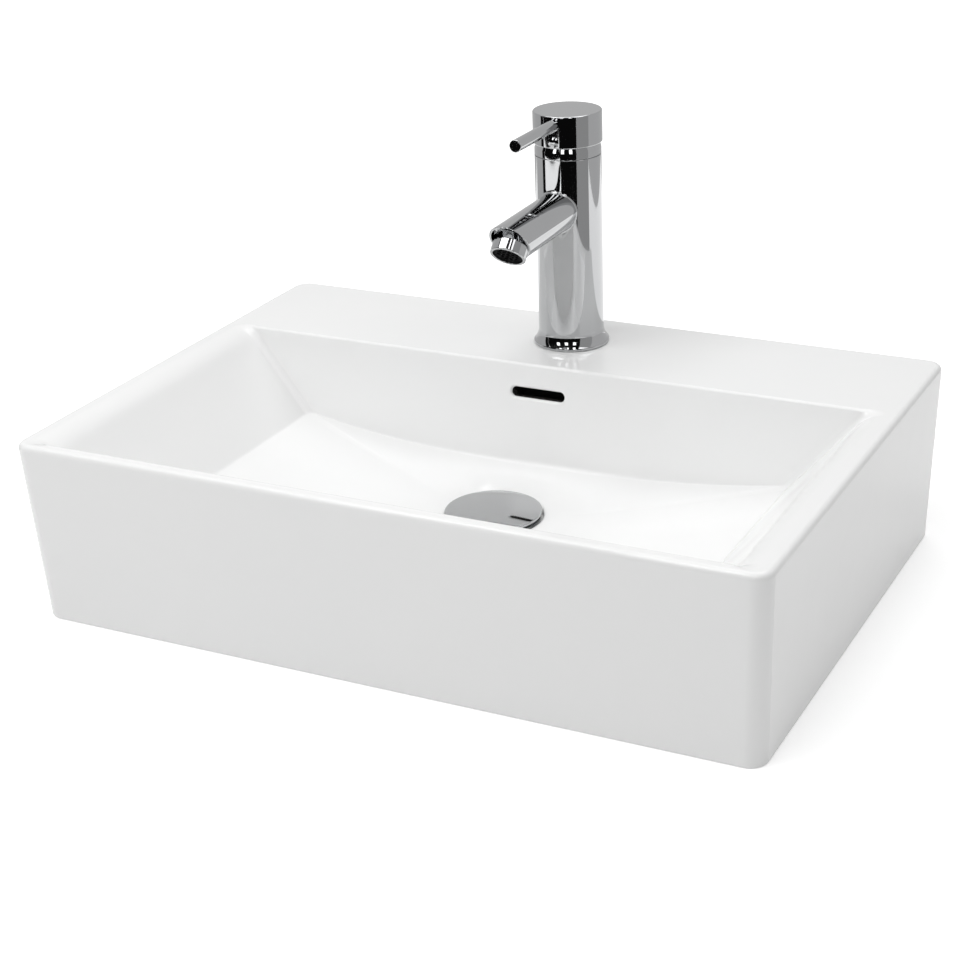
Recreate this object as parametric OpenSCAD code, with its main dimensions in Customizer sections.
// Counter washbasin with a single-lever mixer tap and a click waste, in millimetres.
// The origin is the middle of the base; +Z is up and the front of the basin faces -Y.

/* [Basin] */
// Width of the basin at the rim
basin_w = 510; // [490:5:560]
// Depth of the basin from front to back at the rim
basin_d = 360; // [350:5:400]
// Height of the basin from its base to the rim
basin_h = 126; // [122:1:140]
// Radius of the upright outer corners
corner_r = 12; // [9:1:18]
// How far each side leans in towards the base
side_draft = 4.1; // [2:0.1:7]
// How far the front leans in towards the base
front_draft = 7; // [3:0.1:9]
// How far the back leans in towards the base
back_draft = 4.6; // [2:0.1:7]
// Rounding of the outer top edge
rim_round = 4; // [2:0.5:6]
// Thickness of the skirt walls
skirt_wall = 11; // [9:0.5:13]
// Thickness of the tap deck and the rim
deck_t = 10; // [8:0.5:12]

/* [Bowl] */
// Width of the rim at the left and right, up to where rim and wall would meet
rim_side = 19; // [14:0.5:24]
// Radius of the soft edge between the rim and the side walls
side_edge_r = 25; // [15:0.5:30]
// Width of the rim at the front
rim_front = 10; // [9:0.5:16]
// Depth of the tap deck from the back of the basin to the bowl
deck_d = 107; // [106:1:116]
// Run of the side walls of the bowl for each millimetre of height
side_run = 0.9; // [0.7:0.01:1.1]
// Run of the front and rear walls of the bowl for each millimetre of height
wall_run = 0.15; // [0.1:0.01:0.25]
// Thickness of the bowl walls
bowl_wall = 9; // [7:0.5:11]
// Radius of the upright corners of the bowl at the rim
bowl_corner_r = 6; // [5:0.5:12]
// Radius where the bowl walls meet its floor
crease_r = 5; // [3:0.5:9]
// Height of the bowl floor round the waste
floor_z = 45; // [43:0.5:48]
// Rise of the floor from the waste to the middle of the rear wall
floor_mid_rise = 11; // [8:0.5:16]
// Rise of the floor from the waste to the side walls
floor_side_rise = 23; // [17:0.5:28]
// Radius of the level floor round the waste
floor_flat_r = 38; // [36:0.5:44]

/* [Waste seat and overflow] */
// Distance of the waste in front of the middle of the basin
drain_forward = 3; // [0:1:20]
// Diameter of the waste hole
waste_hole_d = 45; // [44:0.5:48]
// Diameter of the recess that takes the waste flange
recess_d = 68; // [66:0.5:70]
// Depth of the flange recess
recess_depth = 3; // [2.5:0.1:4]
// Thickness of the ledge that carries the waste flange
ledge_t = 5; // [4:0.5:6]
// Height of the overflow channel
channel_h = 7; // [6:0.5:9]
// Thickness of the ceramic under and behind the overflow channel
channel_wall = 6; // [4:0.5:8]
// Width of the overflow channel
channel_w = 42; // [41:1:60]
// Distance from the front of the deck to the back of the overflow channel
channel_back = 19; // [18:0.5:21]
// Diameter of the chamber round the waste hole
chamber_d = 60; // [56:1:62]
// Diameter of the boss round the waste hole
boss_d = 74; // [70:1:80]
// Width of the overflow slot
slot_w = 40; // [30:1:40]
// Height of the overflow slot
slot_h = 7; // [6:0.5:9]
// Depth of the middle of the overflow slot below the rim
slot_drop = 20.5; // [18:0.5:26]
// Diameter of the tap hole
tap_hole_d = 35; // [34:0.5:37]
// Distance of the tap from the back of the basin
tap_back = 51; // [48:1:56]

/* [Tap body] */
// Diameter of the tap body
body_d = 46; // [45:0.5:48]
// Height of the tap body from the deck to the seam under the collar
body_h = 135.5; // [132:0.5:145]
// Diameter of the foot
foot_d = 53.2; // [52:0.2:58]
// Height of the upright band of the foot
foot_band = 2; // [1.5:0.5:4]
// Height at which the flare of the foot meets the body
foot_rise = 11; // [9:0.5:16]
// Rounding of the lower edge of the foot
foot_edge = 0.8; // [0.4:0.1:1.1]
// Height of the foot above the deck, closed by the foot seal
foot_gap = 0.3; // [0.2:0.1:0.6]
// Chamfer at the seam between the body and the collar
seam_chamfer = 0.25; // [0.15:0.05:0.6]
// Thickness of the base plate of the tap body
base_plate = 12; // [10:0.5:16]
// Diameter of the hollow inside the lower body
core_d = 38; // [34:0.5:39]
// Height of the solid block between the hollow and the cartridge seat
block_h = 24; // [22:0.5:28]
// Diameter of the cartridge bore
bore_d = 36; // [35.8:0.1:36.4]
// Depth of the cartridge seat below the seam
seat_depth = 27; // [26:0.5:30]

/* [Waterways and fixing] */
// Sideways distance of each inlet from the tap axis
inlet_x = 8.5; // [8.3:0.1:9]
// Distance of the inlets behind the tap axis
inlet_y = 0; // [-0.5:0.5:1]
// Diameter of the inlet threads
inlet_thread_d = 10; // [10:0.1:10.4]
// Depth of the inlet threads
inlet_depth = 10; // [8:0.5:11]
// Diameter of the inlet passages
inlet_d = 6.4; // [5:0.1:7]
// Wall of the inlet pipes
pipe_wall = 2.8; // [2:0.1:3.5]
// Distance of the outlet passage in front of the tap axis
outlet_y = 8.5; // [8:0.5:9]
// Diameter of the outlet passage
outlet_d = 7; // [5:0.1:7.5]
// Diameter of the core hole in the base plate
core_hole_d = 7; // [5:0.5:8]
// Distance of the core hole in front of the tap axis
core_hole_y = 11; // [10:0.5:12]
// Diameter of the fixing stud
stud_d = 8; // [6:0.5:8]
// Distance of the fixing stud behind the tap axis
stud_y = 11.5; // [11:0.5:12.5]
// Length of the fixing stud below the deck surface
stud_drop = 55; // [45:1:80]

/* [Spout] */
// Diameter of the spout tube
spout_d = 28; // [26:0.5:30]
// Height of the spout axis above the deck, at the tap axis
spout_z = 100; // [92:0.5:101]
// Fall of the spout towards its end, in degrees
spout_fall = 1; // [0:0.5:4]
// Distance from the tap axis to the slanted end, along the spout axis
spout_reach = 94.5; // [85:0.5:125]
// Slant of the spout end, in degrees down from square
spout_cut = 37; // [30:0.5:44]
// Wall of the spout round the recess in its end
mouth_wall = 1.5; // [1.2:0.1:1.8]
// Depth of the recess in the end of the spout, where the aerator sits
mouth_depth = 4; // [2:0.5:4.5]
// Diameter of the spout waterway
spout_bore_d = 19; // [16:0.5:20]
// Diameter of the port from the body into the spout
spout_port_d = 10; // [8:0.5:10]
// Distance from the tap axis at which the wide waterway starts
spout_port_len = 32; // [28:0.5:40]

/* [Aerator] */
// Outer diameter of the aerator ring
aerator_d = 24.2; // [22:0.1:25]
// Diameter of the opening of the aerator ring
aerator_open_d = 20.4; // [18:0.1:21]
// Tilt of the aerator axis below level, in degrees
aerator_tilt = 46; // [38:0.5:50]
// Distance by which the ring stands out of the spout end, along its axis
aerator_out = 8; // [5:0.5:10]
// Depth of the ring inside the spout end
aerator_in = 6; // [5:0.5:7]
// Distance of the ring below the middle of the slanted end, along that end
aerator_low = 3.2; // [2:0.1:4]
// Depth of the insert behind the mouth of the ring
insert_recess = 1.6; // [1:0.1:3]
// Length of the aerator insert
insert_len = 8; // [6:0.5:9]
// Size across the corners of each opening in the insert
mesh_cell = 3; // [2.4:0.1:3.1]
// Distance between the openings in the insert
mesh_pitch = 3.5; // [3.3:0.1:4]
// Thickness of the aerator washer
aerator_washer = 1; // [0.8:0.1:1.5]

/* [Cartridge] */
// Thickness of the port seals under the cartridge
port_seal_t = 1; // [0.8:0.1:1.4]
// Thickness of the cartridge base
cart_base_t = 4; // [3:0.1:4.5]
// Thickness of each ceramic disc
disc_t = 3.5; // [3:0.1:4]
// Diameter of the fixed disc
fixed_disc_d = 30.4; // [28:0.1:30.8]
// Diameter of the moving disc and its driver
moving_disc_d = 21; // [20:0.1:22]
// Distance of the ball of the stem below the tilt axis
ball_drop = 10; // [9.5:0.1:10.5]
// Diameter of the ball of the stem
ball_d = 6.4; // [5:0.1:7]
// Wall of the cartridge housing
housing_wall = 2; // [1.6:0.1:2.2]
// Thickness of the shoulder of the cartridge housing
shoulder_t = 2.5; // [2:0.1:3]
// Diameter of the bore in which the rotor turns
rotor_bore_d = 24; // [23:0.1:24.6]
// Wall of the neck round the rotor
neck_wall = 1.8; // [1.4:0.1:2]
// Height of the neck and the rotor above the tilt axis
neck_rise = 5.5; // [5:0.1:6]
// Width of the slot in the rotor for the stem
rotor_slot_w = 8.6; // [8.4:0.1:9.4]
// Length of the slot in the rotor
rotor_slot_l = 18; // [17:0.1:19]
// Width of the eye of the stem
eye_w = 8; // [7:0.1:8]
// Size of the square of the stem
stem_sq = 7.6; // [6.6:0.1:7.8]
// Diameter of the lower shank of the stem
shank_d = 3.6; // [3:0.1:3.8]
// Diameter of the tilt pin
tilt_pin_d = 4; // [3:0.1:4.4]

/* [Nut and collar] */
// Height of the nut above the seam
nut_rise = 8.5; // [7:0.1:9]
// Wall of the nut above the seam
nut_wall = 2.8; // [2:0.1:3]
// Height of the collar above the seam
collar_h = 9.5; // [9:0.1:9.6]

/* [Handle] */
// Distance by which the handle cap stands out past the tap body
cap_over = 0.8; // [0.5:0.1:2]
// Height of the handle cap
cap_h = 22; // [21.5:0.1:25]
// Height of the lower rim of the cap above the seam
cap_rise = 8.3; // [8.1:0.1:9]
// Wall of the handle cap
cap_wall = 1.6; // [1.4:0.1:1.8]
// Depth of the hollow inside the cap
cap_hollow = 9.4; // [9:0.1:10]
// Rounding of the top edge of the cap
cap_edge = 1; // [0.5:0.1:2]
// Chamfer of the lower rim of the cap
cap_chamfer = 0.8; // [0.4:0.1:1]
// Diameter of the hub inside the cap
hub_d = 18; // [17:0.5:19]
// Depth of the hub below the top of the hollow
hub_drop = 5; // [4:0.1:5.5]
// Depth of the socket for the stem above the hollow
socket_up = 3.4; // [2:0.1:3.6]
// Diameter of the lever pin
lever_d = 8.5; // [7:0.1:9]
// Distance from the tap axis to the end of the lever pin
lever_reach = 82; // [70:1:110]
// Depth of the lever axis below the top of the cap
lever_drop = 6; // [5.2:0.1:6.5]
// Rounding of the free end of the lever pin
lever_edge = 0.5; // [0.2:0.1:1]
// Diameter of the threaded end of the lever pin
lever_thread_d = 6; // [5:0.1:6.5]
// Distance from the tap axis at which the lever thread ends
lever_root = 10; // [9:0.5:12]
// Distance from the tap axis at which the full lever pin starts
lever_start = 20; // [18:0.5:21.5]
// Diameter of the grub screw
grub_d = 5; // [4:0.1:5]
// Length of the grub screw
grub_len = 7; // [6:0.1:7.5]
// Size across the corners of the grub screw socket
grub_socket = 2.9; // [2:0.1:3]
// Depth of the grub screw socket
grub_socket_depth = 2.5; // [1.5:0.1:3]
// Height of the grub screw above the lower rim of the cap
grub_rise = 4.7; // [4.6:0.1:5.2]
// Diameter of the index plug
plug_d = 7.8; // [6:0.1:7.8]
// Height of the dome of the index plug
plug_dome = 0.9; // [0.5:0.1:1.5]

/* [Fixing under the deck] */
// Outer diameter of the horseshoe washers
horseshoe_d = 50; // [46:1:54]
// Width of the opening of the horseshoe washers
horseshoe_gap = 29; // [28:0.5:32]
// Distance from the stud to the opening of the horseshoe washers
horseshoe_web = 2.4; // [1.8:0.1:3]
// Thickness of the rubber horseshoe washer
horseshoe_seal_t = 3; // [2:0.1:4]
// Thickness of the metal horseshoe washer
horseshoe_plate_t = 2; // [1.5:0.1:3]
// Size across the flats of the stud nut
stud_nut_af = 13; // [12:0.1:14]
// Thickness of the stud nut
stud_nut_t = 6.5; // [5:0.1:8]
// Inner diameter of the foot seal
foot_seal_in = 39; // [38:0.1:42]
// Outer diameter of the foot seal
foot_seal_out = 50; // [47:0.1:50.4]
// Thickness of the foot seal
foot_seal_t = 1.6; // [1.2:0.1:2]

/* [Waste] */
// Diameter of the plug cap
cap_disc_d = 66; // [65:0.5:68]
// Height of the top of the plug cap above the waste flange, with the plug closed
cap_top = 6; // [5.5:0.1:7.5]
// Height of the dome of the plug cap
cap_dome = 2.2; // [1.5:0.1:3]
// Thickness of the plug cap
cap_disc_t = 2; // [1.6:0.1:2.2]
// Diameter of the waste flange
flange_d = 64; // [62:0.5:64.5]
// Thickness of the waste flange
flange_t = 2; // [1.5:0.1:2.5]
// Diameter of the waste tail, G 1 1/4 thread
tail_d = 41.9; // [41:0.1:42]
// Radial step from the free tail to the thread under the back nut
tail_step = 0.45; // [0.3:0.05:0.8]
// Gap between the back nut and the free tail
tail_gap = 0.5; // [0.3:0.1:1]
// Wall of the waste tail
tail_wall = 2.6; // [2:0.1:3]
// Height of the lower end of the waste tail above the base of the basin
tail_bottom = 2; // [1.5:0.5:3]
// Number of overflow windows in the waste tail
window_count = 4; // [2:1:6]
// Width of each overflow window
window_w = 12; // [8:0.5:13]
// Height of the crossbar of the waste above the lower end of the tail
bar_rise = 3; // [2:0.5:4]
// Thickness of the crossbar
bar_t = 4; // [3:0.5:5]
// Width of each arm of the crossbar
bar_w = 5; // [4:0.5:6]
// Diameter of the hub of the crossbar
bar_hub_d = 15; // [13:0.5:17]
// Thickness of the lower gasket of the waste
gasket_t = 3; // [2:0.5:4]
// Outer diameter of the lower gasket
gasket_d = 60; // [54:1:64]
// Thickness of the back nut
back_nut_t = 7; // [6:0.5:7]
// Size across the flats of the back nut
back_nut_af = 55; // [52:1:58]

/* [Click plug] */
// Rise of the plug when it is open
plug_lift = 7; // [5:0.5:7]
// Inner diameter of the plug seal
plug_seal_in = 46; // [42:0.5:48]
// Outer diameter of the plug seal
plug_seal_out = 56; // [52:0.5:60]
// Thickness of the plug seal
plug_seal_t = 1.3; // [1:0.1:1.6]
// Diameter of the click barrel
barrel_d = 13; // [12.6:0.1:14]
// Diameter of the threaded spigot of the click barrel
spigot_d = 8; // [6:0.1:9]
// Diameter of the bore of the click barrel
barrel_bore_d = 10; // [9:0.1:10.4]
// Thickness of the bottom of the click barrel
barrel_floor = 2; // [1.5:0.1:3]
// Depth of the mouth of the click barrel below the waste flange
barrel_drop = 6; // [5.5:0.1:8]
// Height of the closed spring
spring_h = 8; // [7:0.1:9]
// Diameter of the spring wire
wire_d = 0.9; // [0.6:0.1:1]
// Number of turns of the spring
spring_turns = 5; // [4:1:6]
// Diameter of the spring at the middle of its wire
spring_d = 7.6; // [6.5:0.1:7.8]
// Height of the latch cam
cam_h = 4; // [3:0.1:5]
// Diameter of the latch cam over its lugs
cam_d = 9.4; // [8:0.1:9.5]
// Number of lugs of the latch cam
cam_lugs = 4; // [3:1:6]
// Diameter of the tip of the plunger
tip_d = 5; // [4:0.1:5.4]
// Diameter of the foot that keeps the cam on the plunger
keeper_d = 7; // [6:0.1:7.4]
// Thickness of the foot of the plunger
keeper_t = 1; // [0.8:0.1:1.4]
// Diameter of the boss under the plug cap
cap_boss_d = 14; // [13:0.1:16]
// Depth of the plunger thread in the plug cap
plunger_grip = 2.5; // [2:0.1:2.7]

/* [Fits] */
// Radial clearance of turning and sliding parts
running_gap = 0.06; // [0.03:0.01:0.1]
// Radial clearance of threads and seats
seat_gap = 0.03; // [0.02:0.01:0.06]
// Clearance between separate parts that move past each other
free_gap = 0.3; // [0.2:0.05:0.5]
// Radial clearance round the fixing stud in the washers
stud_gap = 0.4; // [0.2:0.1:0.8]

/* [Hidden] */
$fn = 96;
hull_fn = 32;
arc_steps = 8;
// A cut runs this far past the face that it opens
past = 1;
// How the ends of the soft side edges lean, for each millimetre of height
edge_end_run = 0.35;

bowl_half_w = basin_w / 2 - rim_side;
bowl_front_y = rim_front - basin_d / 2;
bowl_rear_y = basin_d / 2 - deck_d;
deck_under = basin_h - deck_t;
edge_turn = atan2(1, side_run);
edge_r = min(side_edge_r, (rim_side - rim_round - past) / tan(edge_turn / 2));
edge_x = bowl_half_w + edge_r * tan(edge_turn / 2);
edge_in_x = edge_x - edge_r * sin(edge_turn);
edge_drop = edge_r * (1 - cos(edge_turn));
drain_y = -drain_forward;
recess_z = floor_z - recess_depth;
channel_top = recess_z - ledge_t;
channel_bottom = channel_top - channel_h;
boss_bottom = channel_bottom - channel_wall;
channel_back_y = bowl_rear_y + channel_back;
slot_z = basin_h - slot_drop;

tap_y = basin_d / 2 - tap_back;
body_r = body_d / 2;
seat_z = body_h - seat_depth;
block_z = seat_z - block_h;
cart_base_z = seat_z + port_seal_t;
fixed_disc_z = cart_base_z + cart_base_t;
moving_disc_z = fixed_disc_z + disc_t;
driver_z = moving_disc_z + disc_t;
ball_z = body_h - ball_drop;
driver_top = ball_z + 2.8;
rotor_z = driver_top + free_gap;
rotor_top = body_h + neck_rise;
housing_r = bore_d / 2 - running_gap;
shoulder_z = rotor_z + free_gap;
shoulder_top = shoulder_z + shoulder_t;
rotor_r = rotor_bore_d / 2 - running_gap;
neck_r = rotor_bore_d / 2 + neck_wall;
nut_in_r = neck_r + free_gap;
nut_out_r = nut_in_r + nut_wall;

cap_r = body_r + cap_over;
cap_in_r = cap_r - cap_wall;
cap_z = body_h + cap_rise;
cap_top_z = cap_z + cap_h;
hollow_z = cap_z + cap_hollow;
hub_z = hollow_z - hub_drop;
socket_top = hollow_z + socket_up;
lever_z = cap_top_z - lever_drop;
grub_z = cap_z + grub_rise;

flange_z = recess_z + 1;
flange_top = flange_z + flange_t;
tail_r = tail_d / 2;
tail_bore_r = tail_r - tail_wall;
thread_r = tail_r + tail_step;
bar_z = tail_bottom + bar_rise;
bar_top = bar_z + bar_t;
gasket_z = boss_bottom - gasket_t;
back_nut_z = gasket_z - back_nut_t;
barrel_top = flange_top - barrel_drop;
spring_z = bar_top + barrel_floor;
keeper_z = spring_z + spring_h;
cam_z = keeper_z + keeper_t;
plunger_z = cam_z + cam_h + free_gap;
cap_disc_top = flange_top + cap_top;
cap_rim_z = cap_disc_top - cap_dome - cap_disc_t;
cap_boss_z = flange_top + 1;
plunger_top = cap_boss_z + plunger_grip;
plug_seal_z = flange_top + 0.1;
plug_seal_top = plug_seal_z + plug_seal_t;

// Points of an arc about (cx, cy), from one angle to another
function arc(cx, cy, r, from, to) =
    [for (i = [0:arc_steps]) let (a = from + (to - from) * i / arc_steps)
        [cx + r * cos(a), cy + r * sin(a)]];

// Half width of the bowl at a height, and the places of its front and rear walls
function bowl_x(z) = bowl_half_w - side_run * (basin_h - z);
function bowl_front(z) = bowl_front_y + wall_run * (basin_h - z);
function bowl_rear(z) = bowl_rear_y - wall_run * (basin_h - z);

// Level distance from a wall that leans by run to the centre of a ball that rests on it
function inset(run, r) = r * sqrt(1 + run * run);

// Rise of the floor along the front and rear walls, at a share u of the way to the side
function floor_rise(u) =
    floor_mid_rise + (floor_side_rise - floor_mid_rise) * pow(abs(u), 3);

// A ring between two radii and two heights
module ring(r_out, r_in, z_low, z_high) {
    translate([0, 0, z_low]) difference() {
        cylinder(r = r_out, h = z_high - z_low);
        translate([0, 0, -past]) cylinder(r = r_in, h = z_high - z_low + 2 * past);
    }
}

// A cylinder between two heights
module post(r, z_low, z_high) {
    translate([0, 0, z_low]) cylinder(r = r, h = z_high - z_low);
}

// A cylinder that points forward, to -Y, from one distance to another
module forward(r, from, to) {
    translate([0, -from, 0]) rotate([90, 0, 0]) cylinder(r = r, h = to - from);
}

// Four copies at the corners of a rectangle, given by its half width, front and rear
module at_corners(x, front, rear) {
    for (side = [-1, 1]) {
        translate([side * x, front, 0]) children();
        translate([side * x, rear, 0]) children();
    }
}

// The drafted outer block with rounded corners and a rounded top edge
module outer_form() {
    top_x = basin_w / 2 - corner_r;
    top_y = basin_d / 2 - corner_r;
    hull() {
        at_corners(top_x, -top_y, top_y)
            translate([0, 0, basin_h - rim_round])
                rotate_extrude($fn = 48)
                    polygon(concat([[0, 0]],
                        arc(corner_r - rim_round, 0, rim_round, 0, 90), [[0, rim_round]]));
        at_corners(top_x - side_draft, front_draft - top_y, top_y - back_draft)
            cylinder(r = corner_r, h = 1, $fn = 48);
    }
}

// The hollow under the basin, as far in as the skirt is thick
module skirt_hollow() {
    r = corner_r / 2;
    x = basin_w / 2 - skirt_wall - r;
    y = basin_d / 2 - skirt_wall - r;
    hull() {
        at_corners(x, -y, y) translate([0, 0, deck_under - 1]) cylinder(r = r, h = 1, $fn = hull_fn);
        at_corners(x - side_draft, front_draft - y, y - back_draft)
            translate([0, 0, -past]) cylinder(r = r, h = 1, $fn = hull_fn);
    }
}

// The space of the bowl, grown by a wall thickness and closed at a height
module bowl_form(grow, top) {
    corner = bowl_corner_r;
    hull() {
        at_corners(bowl_x(top) - corner, bowl_front(top) + corner, bowl_rear(top) - corner)
            translate([0, 0, top]) cylinder(r = corner + grow, h = 0.5, $fn = hull_fn);
        for (u = [-1:0.25:1]) {
            z = floor_z + floor_rise(u) + crease_r;
            x = bowl_x(z) - inset(side_run, crease_r);
            translate([u * x, bowl_front(z) + inset(wall_run, crease_r), z])
                sphere(r = crease_r + grow, $fn = hull_fn);
            translate([u * x, bowl_rear(z) - inset(wall_run, crease_r), z])
                sphere(r = crease_r + grow, $fn = hull_fn);
        }
        translate([0, drain_y, floor_z - grow])
            cylinder(r = floor_flat_r, h = 1, $fn = hull_fn);
    }
}

// Space above the soft edges that lead from the rim into the side walls
module side_edges() {
    middle = (bowl_front_y + bowl_rear_y) / 2;
    half_d = (bowl_rear_y - bowl_front_y) / 2;
    low_d = half_d - edge_drop * edge_end_run;
    w = edge_x - edge_in_x + past;
    for (side = [0, 1]) mirror([side, 0, 0]) translate([edge_in_x - past, middle, basin_h])
        difference() {
            hull() {
                translate([0, -half_d, 0]) cube([w, 2 * half_d, past]);
                translate([0, -low_d, -edge_drop]) cube([w, 2 * low_d, past / 10]);
            }
            translate([w, 0, -edge_r]) forward(edge_r, -half_d - past, half_d + past);
        }
}

// Side view of the overflow channel, grown by a wall
module channel_side(grow) {
    top = slot_z + slot_h + grow;
    foot = channel_bottom - grow;
    polygon([
        [drain_y, foot],
        [channel_back_y + grow, foot],
        [channel_back_y + grow, top],
        [bowl_rear(top) + bowl_wall - grow, top],
        [bowl_rear(channel_top) + bowl_wall - grow, channel_top + grow],
        [drain_y, channel_top + grow]]);
}

// The overflow channel as a solid, grown by a wall
module channel(grow) {
    rotate([90, 0, 90])
        translate([0, 0, -channel_w / 2 - grow])
            linear_extrude(channel_w + 2 * grow) channel_side(grow);
}

// The overflow slot through the rear wall of the bowl
module overflow_slot() {
    half = slot_w / 2 - slot_h / 2;
    reach = bowl_rear(slot_z) + bowl_wall + past;
    length = reach - bowl_rear(slot_z - slot_h) + past;
    translate([0, reach, slot_z]) {
        for (side = [-1, 1]) translate([side * half, 0, 0]) forward(slot_h / 2, 0, length);
        translate([-half, -length, -slot_h / 2]) cube([2 * half, length, slot_h]);
    }
}

// Ceramic basin: skirt, tap deck, bowl, waste boss and overflow channel in one casting
module basin() {
    color("white") difference() {
        union() {
            difference() {
                outer_form();
                skirt_hollow();
            }
            bowl_form(bowl_wall, deck_under + past);
            translate([0, drain_y, 0]) post(boss_d / 2, boss_bottom, floor_z - past);
            channel(channel_wall);
        }
        bowl_form(0, basin_h);
        side_edges();
        translate([0, drain_y, 0]) {
            post(recess_d / 2, recess_z, floor_z + past);
            post(waste_hole_d / 2, boss_bottom - past, floor_z);
            post(chamber_d / 2, channel_bottom, channel_top);
        }
        channel(0);
        overflow_slot();
        translate([0, tap_y, 0]) post(tap_hole_d / 2, deck_under - past, basin_h + past);
    }
}

// Puts a part of the tap on the deck, on the tap axis
module on_deck() {
    translate([0, tap_y, basin_h]) children();
}

// Turned outline of the tap body and its flared foot
module body_outline() {
    foot_r = foot_d / 2;
    out = foot_r - body_r;
    rise = foot_rise - foot_band;
    flare = (out * out + rise * rise) / (2 * out);
    turn = asin(rise / flare);
    polygon(concat(
        [[0, foot_gap], [foot_r - foot_edge, foot_gap]],
        arc(foot_r - foot_edge, foot_gap + foot_edge, foot_edge, -90, 0),
        arc(body_r + flare, foot_rise, flare, 180 + turn, 180),
        [[body_r, body_h - seam_chamfer], [body_r - seam_chamfer, body_h], [0, body_h]]));
}

// Moves the children onto the spout axis, which falls towards its end
module on_spout() {
    translate([0, 0, spout_z]) rotate([spout_fall, 0, 0]) children();
}

// Everything past the slanted end of the spout, from a depth inside it
module past_spout_end(depth) {
    block = 3 * spout_d;
    on_spout() translate([0, -spout_reach, 0]) rotate([spout_cut - spout_fall, 0, 0])
        translate([-block / 2, depth - block, -block / 2]) cube(block);
}

// Recess in the end of the spout, round the aerator
module spout_mouth() {
    intersection() {
        on_spout() forward(spout_d / 2 - mouth_wall, spout_reach - spout_d, spout_reach + spout_d);
        past_spout_end(mouth_depth);
    }
}

// Puts the children on the aerator axis: zero on the slanted end, +Z out of the spout
module on_aerator() {
    on_spout() translate([0, -spout_reach, 0]) rotate([spout_cut - spout_fall, 0, 0])
        translate([0, 0, -aerator_low]) rotate([90 + aerator_tilt - spout_cut, 0, 0]) children();
}

// Passages of the two inlets, between two heights
module inlets(r, z_low, z_high) {
    for (side = [-1, 1]) translate([side * inlet_x, inlet_y, 0]) post(r, z_low, z_high);
}

// Brass tap body with its spout, cartridge bore, waterways and fixing thread
module tap_body() {
    color("silver") on_deck() difference() {
        union() {
            rotate_extrude() body_outline();
            difference() {
                on_spout() forward(spout_d / 2, 0, spout_reach + spout_d);
                past_spout_end(0);
            }
        }
        post(bore_d / 2, seat_z, body_h + past);
        difference() {
            post(core_d / 2, base_plate, block_z);
            inlets(inlet_d / 2 + pipe_wall, base_plate - past, block_z + past);
        }
        inlets(inlet_thread_d / 2, foot_gap - past, inlet_depth);
        inlets(inlet_d / 2, inlet_depth - past, seat_z + past);
        translate([0, -core_hole_y, 0]) post(core_hole_d / 2, foot_gap - past, base_plate + past);
        translate([0, stud_y, 0]) post(stud_d / 2 + seat_gap, foot_gap - past, base_plate + past);
        translate([0, -outlet_y, 0]) post(outlet_d / 2, spout_z, seat_z + past);
        on_spout() {
            forward(spout_port_d / 2, outlet_y - outlet_d / 2, spout_port_len + past);
            forward(spout_bore_d / 2, spout_port_len, spout_reach - aerator_in);
        }
        spout_mouth();
        on_aerator() post(aerator_d / 2 + seat_gap, -aerator_in - aerator_washer, aerator_d);
        ring(foot_seal_out / 2 + free_gap, foot_seal_in / 2 - free_gap, 0, foot_seal_t);
    }
}

// Chrome ring that holds the aerator insert
module aerator_housing() {
    lip = 1.2;
    bore_r = aerator_open_d / 2;
    color("silver") on_deck() on_aerator() difference() {
        rotate_extrude() polygon([
            [bore_r, -aerator_in], [aerator_d / 2, -aerator_in],
            [aerator_d / 2, aerator_out - lip / 2], [aerator_d / 2 - lip / 2, aerator_out],
            [bore_r, aerator_out]]);
        translate([0, 0, aerator_out - lip]) cylinder(r1 = bore_r, r2 = bore_r + lip / 4, h = 2 * lip);
    }
}

// Black insert with a honeycomb of openings
module aerator_insert() {
    r = aerator_open_d / 2 - seat_gap;
    top = aerator_out - insert_recess;
    rows = 2;
    color("dimgray") on_deck() on_aerator() difference() {
        post(r, top - insert_len, top);
        for (i = [-rows:rows], j = [-rows:rows])
            if (abs(i + j) <= rows)
                translate([(i + j / 2) * mesh_pitch, j * mesh_pitch * sqrt(3) / 2,
                        top - insert_len - past])
                    cylinder(r = mesh_cell / 2, h = insert_len + 2 * past, $fn = 6);
    }
}

// Rubber washer between the aerator ring and the spout
module aerator_washer_ring() {
    color("black") on_deck() on_aerator()
        ring(aerator_d / 2 - free_gap, aerator_open_d / 2 - past,
            -aerator_in - aerator_washer, -aerator_in);
}

// Collar, flush with the body below and domed above: the dome is centred on the tilt
// axis and lies just inside the lower rim of the cap, so the cap can tilt round it
module collar() {
    z0 = body_h;
    dome_r = norm([cap_in_r, cap_rise]) - free_gap;
    color("silver") on_deck() rotate_extrude() polygon(concat(
        [[nut_out_r + seat_gap, z0], [body_r - seam_chamfer, z0], [body_r, z0 + seam_chamfer]],
        arc(0, z0, dome_r, acos(body_r / dome_r), asin(collar_h / dome_r)),
        [[nut_out_r + seat_gap, z0 + collar_h]]));
}

// Brass nut that clamps the cartridge and carries the collar
module cartridge_nut() {
    color("goldenrod") on_deck() {
        ring(bore_d / 2 - seat_gap, nut_in_r, shoulder_top, body_h);
        ring(nut_out_r, nut_in_r, body_h - seam_chamfer, body_h + nut_rise);
    }
}

// Plastic housing of the cartridge with its shoulder and neck
module cartridge_housing() {
    color("whitesmoke") on_deck() {
        ring(housing_r, housing_r - housing_wall, fixed_disc_z, shoulder_z + past);
        ring(housing_r, rotor_bore_d / 2, shoulder_z, shoulder_top);
        ring(neck_r, rotor_bore_d / 2, shoulder_z, rotor_top);
    }
}

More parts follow.
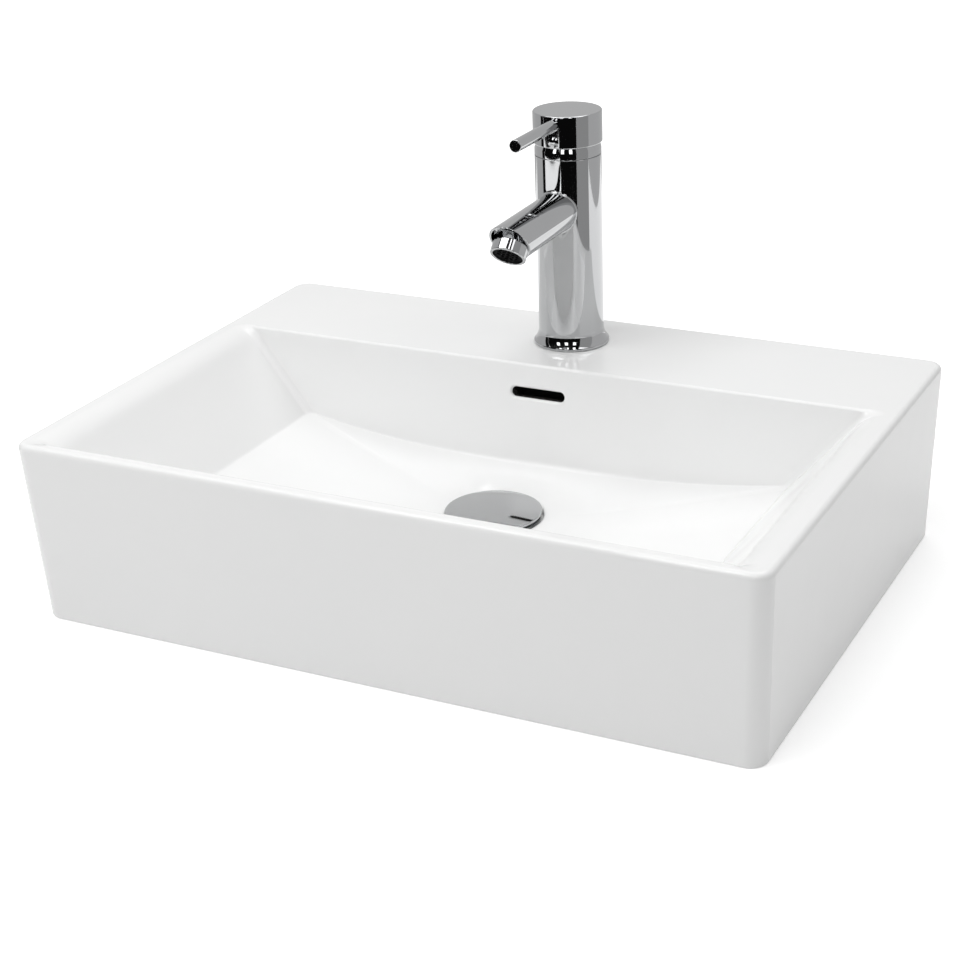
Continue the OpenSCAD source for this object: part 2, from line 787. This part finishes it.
// Holes for the hot, cold and mixed water, between two heights
module ports(r, z_low, z_high) {
    inlets(r, z_low, z_high);
    translate([0, -outlet_y, 0]) post(r, z_low, z_high);
}

// Plastic base of the cartridge with its three ports
module cartridge_base() {
    color("lightgray") on_deck() difference() {
        post(housing_r, cart_base_z, fixed_disc_z);
        ports(outlet_d / 2 - free_gap, cart_base_z - past, fixed_disc_z + past);
    }
}

// Rubber port seals under the cartridge, joined by a web
module port_seal() {
    color("black") on_deck() difference() {
        post(housing_r - housing_wall, seat_z, cart_base_z);
        ports(outlet_d / 2 - free_gap, seat_z - past, cart_base_z + past);
    }
}

// Fixed ceramic disc
module fixed_disc() {
    color("ivory") on_deck() difference() {
        post(fixed_disc_d / 2, fixed_disc_z, moving_disc_z);
        ports(outlet_d / 2 - 2 * free_gap, fixed_disc_z - past, moving_disc_z + past);
    }
}

// Moving ceramic disc with the mixing pocket in its underside
module moving_disc() {
    pocket_depth = disc_t / 2;
    pocket_r = outlet_d / 2;
    color("ivory") on_deck() difference() {
        post(moving_disc_d / 2, moving_disc_z, driver_z);
        translate([0, -pocket_r / 2, 0])
            post(pocket_r, moving_disc_z - past, moving_disc_z + pocket_depth);
    }
}

// Driver that carries the moving disc along under the ball of the stem
module disc_driver() {
    pocket_w = ball_d + 2 * running_gap;
    color("steelblue") on_deck() difference() {
        post(moving_disc_d / 2, driver_z, driver_top);
        translate([0, 0, ball_z - ball_d / 2 - free_gap])
            translate([-pocket_w / 2, -pocket_w / 2, 0]) cube([pocket_w, pocket_w, ball_d * 2]);
    }
}

// Rotor that turns in the neck and carries the tilt pin
module rotor() {
    color("orange") on_deck() difference() {
        post(rotor_r, rotor_z, rotor_top);
        translate([-rotor_slot_w / 2, -rotor_slot_l / 2, rotor_z - past])
            cube([rotor_slot_w, rotor_slot_l, rotor_top - rotor_z + 2 * past]);
        translate([-rotor_r - past, 0, body_h]) rotate([0, 90, 0])
            cylinder(r = tilt_pin_d / 2 + seat_gap, h = 2 * (rotor_r + past));
    }
}

// Steel pin on which the stem tilts
module tilt_pin() {
    half = rotor_r - 1;
    color("gray") on_deck() translate([-half, 0, body_h]) rotate([0, 90, 0])
        cylinder(d = tilt_pin_d, h = 2 * half);
}

// Steel stem: square at the top, an eye on the tilt pin and a ball below
module stem() {
    eye_h = tilt_pin_d + 5;
    top = socket_top - free_gap;
    color("gray") on_deck() difference() {
        union() {
            translate([-eye_w / 2, -eye_h / 2, body_h - eye_h / 2]) cube([eye_w, eye_h, eye_h]);
            translate([-stem_sq / 2, -stem_sq / 2, body_h]) cube([stem_sq, stem_sq, top - body_h]);
            post(shank_d / 2, ball_z, body_h);
            translate([0, 0, ball_z]) sphere(d = ball_d);
        }
        translate([-eye_w, 0, body_h]) rotate([0, 90, 0])
            cylinder(d = tilt_pin_d + 2 * running_gap, h = 2 * eye_w);
    }
}

// Turned outline of the handle cap, hollow below
module cap_outline() {
    polygon(concat(
        [[cap_in_r, cap_z], [cap_r - cap_chamfer, cap_z], [cap_r, cap_z + cap_chamfer]],
        arc(cap_r - cap_edge, cap_top_z - cap_edge, cap_edge, 0, 90),
        [[0, cap_top_z], [0, hollow_z], [cap_in_r, hollow_z]]));
}

// Handle cap with the hub that grips the stem
module handle_cap() {
    sq = stem_sq + 2 * seat_gap;
    grip_w = grub_d + 5;
    grip_l = stem_sq / 2 + grub_len + 1;
    color("silver") on_deck() difference() {
        union() {
            rotate_extrude() cap_outline();
            post(hub_d / 2, hub_z, hollow_z + past);
            translate([-grip_w / 2, -grip_l, grub_z - grub_d / 2 - free_gap])
                cube([grip_w, grip_l - stem_sq / 2, hollow_z + past - grub_z + grub_d / 2 + free_gap]);
        }
        translate([-sq / 2, -sq / 2, hub_z - past - hub_drop])
            cube([sq, sq, socket_top - hub_z + past + hub_drop]);
        translate([0, 0, lever_z]) forward(lever_d / 2 + seat_gap, lever_start, cap_r + past);
        translate([0, 0, lever_z])
            forward(lever_thread_d / 2 + seat_gap, lever_root - past, cap_r + past);
        translate([0, 0, grub_z]) forward(grub_d / 2 + seat_gap, 0, grip_l + past);
        translate([0, 0, grub_z]) forward(plug_d / 2 + seat_gap, grip_l + past, cap_r + past);
    }
}

// Straight lever pin with its threaded root
module lever_pin() {
    color("silver") on_deck() translate([0, 0, lever_z]) {
        forward(lever_thread_d / 2, lever_root, lever_start + 1);
        translate([0, -lever_start, 0]) rotate([90, 0, 0]) rotate_extrude() polygon(concat(
            [[0, 0], [lever_d / 2, 0]],
            arc(lever_d / 2 - lever_edge, lever_reach - lever_start - lever_edge, lever_edge, 0, 90),
            [[0, lever_reach - lever_start]]));
    }
}

// Grub screw that holds the cap on the stem
module grub_screw() {
    start = stem_sq / 2 + 0.02;
    color("dimgray") on_deck() translate([0, 0, grub_z]) difference() {
        forward(grub_d / 2, start, start + grub_len);
        translate([0, -start - grub_len + grub_socket_depth, 0]) rotate([90, 0, 0])
            cylinder(d = grub_socket, h = grub_socket_depth + past, $fn = 6);
    }
}

// Domed chrome plug over the grub screw
module index_plug() {
    r = plug_d / 2;
    dome = (r * r + plug_dome * plug_dome) / (2 * plug_dome);
    color("silver") on_deck() translate([0, -cap_in_r, grub_z]) rotate([90, 0, 0])
        rotate_extrude() polygon(concat(
            [[0, 0], [r, 0]],
            arc(0, cap_wall + plug_dome - dome, dome, 90 - asin(r / dome), 90)));
}

// Rubber seal under the foot of the tap
module foot_seal() {
    color("black") on_deck() ring(foot_seal_out / 2, foot_seal_in / 2, 0, foot_seal_t);
}

// Threaded stud that pulls the tap down on the deck
module fixing_stud() {
    color("gray") on_deck() translate([0, stud_y, 0]) post(stud_d / 2, -stud_drop, base_plate);
}

// A horseshoe washer between two heights, open towards the inlets
module horseshoe(z_low, z_high) {
    arm = tap_hole_d;
    difference() {
        post(horseshoe_d / 2, z_low, z_high);
        translate([-horseshoe_gap / 2, -horseshoe_d, z_low - past])
            cube([horseshoe_gap, horseshoe_d + stud_y - stud_d / 2 - horseshoe_web, arm]);
        translate([0, stud_y, 0]) post(stud_d / 2 + stud_gap, z_low - past, z_high + past);
    }
}

// Rubber horseshoe washer under the deck
module horseshoe_seal() {
    color("black") on_deck() horseshoe(-deck_t - horseshoe_seal_t, -deck_t);
}

// Metal horseshoe washer
module horseshoe_plate() {
    top = -deck_t - horseshoe_seal_t;
    color("gray") on_deck() horseshoe(top - horseshoe_plate_t, top);
}

// Hexagon nut on the stud
module stud_nut() {
    top = -deck_t - horseshoe_seal_t - horseshoe_plate_t;
    color("goldenrod") on_deck() translate([0, stud_y, 0]) difference() {
        translate([0, 0, top - stud_nut_t])
            cylinder(d = stud_nut_af / cos(30), h = stud_nut_t, $fn = 6);
        post(stud_d / 2 + seat_gap, top - stud_nut_t - past, top + past);
    }
}

// Puts a part of the waste on its axis
module on_drain() {
    translate([0, drain_y, 0]) children();
}

// Domed cap of the plug with the boss for the plunger
module plug_cap() {
    r = cap_disc_d / 2;
    dome = (r * r + cap_dome * cap_dome) / (2 * cap_dome);
    centre = cap_disc_top - dome;
    inner = dome - cap_disc_t;
    edge = asin((r - 0.4) / dome);
    color("silver") on_drain() difference() {
        union() {
            rotate_extrude() polygon(concat(
                arc(0, centre, inner, 90, 90 - edge),
                [[r, cap_rim_z + 0.3], [r, cap_rim_z + cap_disc_t - 0.4]],
                arc(0, centre, dome, 90 - edge, 90)));
            post(cap_boss_d / 2, cap_boss_z, cap_disc_top - cap_disc_t / 2);
            ring(plug_seal_out / 2, plug_seal_in / 2, plug_seal_top,
                cap_disc_top - cap_dome - cap_disc_t / 4);
        }
        post(barrel_bore_d / 2 - running_gap + seat_gap, flange_top - past, plunger_top);
    }
}

// Rubber seal under the plug cap
module plug_seal() {
    color("black") on_drain()
        ring(plug_seal_out / 2, plug_seal_in / 2, plug_seal_z, plug_seal_top);
}

// Plunger that slides in the click barrel and carries the latch cam
module plunger() {
    color("silver") on_drain() {
        post(barrel_bore_d / 2 - running_gap, plunger_z, plunger_top);
        post(tip_d / 2, keeper_z, plunger_z + 1);
        post(keeper_d / 2, keeper_z, keeper_z + keeper_t - 0.05);
    }
}

// Cam that turns on the plunger and latches in the barrel
module latch_cam() {
    lug_w = tip_d / 2;
    root_r = cam_d / 2 - 0.9;
    color("orange") on_drain() translate([0, 0, cam_z]) difference() {
        intersection() {
            cylinder(d = cam_d, h = cam_h);
            union() {
                cylinder(r = root_r, h = cam_h);
                for (i = [0:cam_lugs - 1]) rotate([0, 0, 360 * i / cam_lugs])
                    translate([0, -lug_w / 2, 0]) cube([cam_d, lug_w, cam_h]);
            }
        }
        translate([0, 0, -past]) cylinder(r = tip_d / 2 + running_gap, h = cam_h + 2 * past);
    }
}

// Points of one ring of the spring wire, at a share of the way along the coil
spring_sides = 6;
spring_steps = 14;
function spring_ring(t) =
    let (a = 360 * spring_turns * t, r = spring_d / 2,
        z = wire_d / 2 + (spring_h - 0.1 - wire_d) * t)
    [for (k = [0:spring_sides - 1]) let (b = 360 * k / spring_sides)
        [(r + wire_d / 2 * cos(b)) * cos(a), (r + wire_d / 2 * cos(b)) * sin(a),
            z + wire_d / 2 * sin(b)]];

// Click spring: one unbroken helix between the barrel floor and the plunger
module click_spring() {
    rings = spring_turns * spring_steps;
    points = [for (i = [0:rings]) each spring_ring(i / rings)];
    sides = [for (i = [0:rings - 1], k = [0:spring_sides - 1])
        let (a = i * spring_sides + k, b = i * spring_sides + (k + 1) % spring_sides)
        each [[a, a + spring_sides, b], [b, a + spring_sides, b + spring_sides]]];
    first = [for (k = [1:spring_sides - 2]) [0, k, k + 1]];
    last = [for (k = [1:spring_sides - 2])
        [rings * spring_sides, rings * spring_sides + k + 1, rings * spring_sides + k]];
    color("lightsteelblue") on_drain() translate([0, 0, spring_z])
        polyhedron(points, concat(sides, first, last));
}

// Click barrel, screwed into the crossbar of the waste
module click_barrel() {
    color("lightgray") on_drain() difference() {
        union() {
            post(spigot_d / 2, bar_z, bar_top + 1);
            post(barrel_d / 2, bar_top, barrel_top);
        }
        post(barrel_bore_d / 2, spring_z, barrel_top + past);
    }
}

// Waste body: flange, threaded tail, overflow windows and crossbar
module waste_body() {
    color("silver") on_drain() difference() {
        union() {
            ring(flange_d / 2, tail_bore_r, flange_z, flange_top);
            ring(tail_r, tail_bore_r, tail_bottom, back_nut_z);
            ring(thread_r, tail_bore_r, back_nut_z - tail_gap, flange_z + past);
            intersection() {
                post(tail_r - past, bar_z, bar_top);
                union() {
                    post(bar_hub_d / 2, bar_z, bar_top);
                    for (turn = [45, 135]) rotate([0, 0, turn])
                        translate([-tail_r, -bar_w / 2, bar_z]) cube([tail_d, bar_w, bar_t]);
                }
            }
        }
        for (i = [0:window_count - 1]) rotate([0, 0, 90 + 360 * i / window_count])
            translate([0, -window_w / 2, channel_bottom]) cube([tail_d, window_w, channel_h]);
        post(spigot_d / 2 + seat_gap, bar_z - past, bar_top + past);
    }
}

// Rubber seal between the waste flange and the ceramic ledge
module flange_seal() {
    color("black") on_drain() ring(flange_d / 2 - 1, waste_hole_d / 2, recess_z, flange_z);
}

// Rubber gasket under the waste boss
module lower_gasket() {
    color("black") on_drain() ring(gasket_d / 2, thread_r + seat_gap, gasket_z, boss_bottom);
}

// Brass back nut of the waste
module back_nut() {
    color("goldenrod") on_drain() difference() {
        translate([0, 0, back_nut_z])
            cylinder(d = back_nut_af / cos(30), h = back_nut_t, $fn = 6);
        post(thread_r + seat_gap, back_nut_z - past, gasket_z + past);
    }
}

basin();
tap_body();
aerator_housing();
aerator_insert();
aerator_washer_ring();
collar();
cartridge_nut();
cartridge_housing();
cartridge_base();
port_seal();
fixed_disc();
moving_disc();
disc_driver();
rotor();
tilt_pin();
stem();
handle_cap();
lever_pin();
grub_screw();
index_plug();
foot_seal();
fixing_stud();
horseshoe_seal();
horseshoe_plate();
stud_nut();
plug_cap();
plug_seal();
plunger();
latch_cam();
click_spring();
click_barrel();
waste_body();
flange_seal();
lower_gasket();
back_nut();
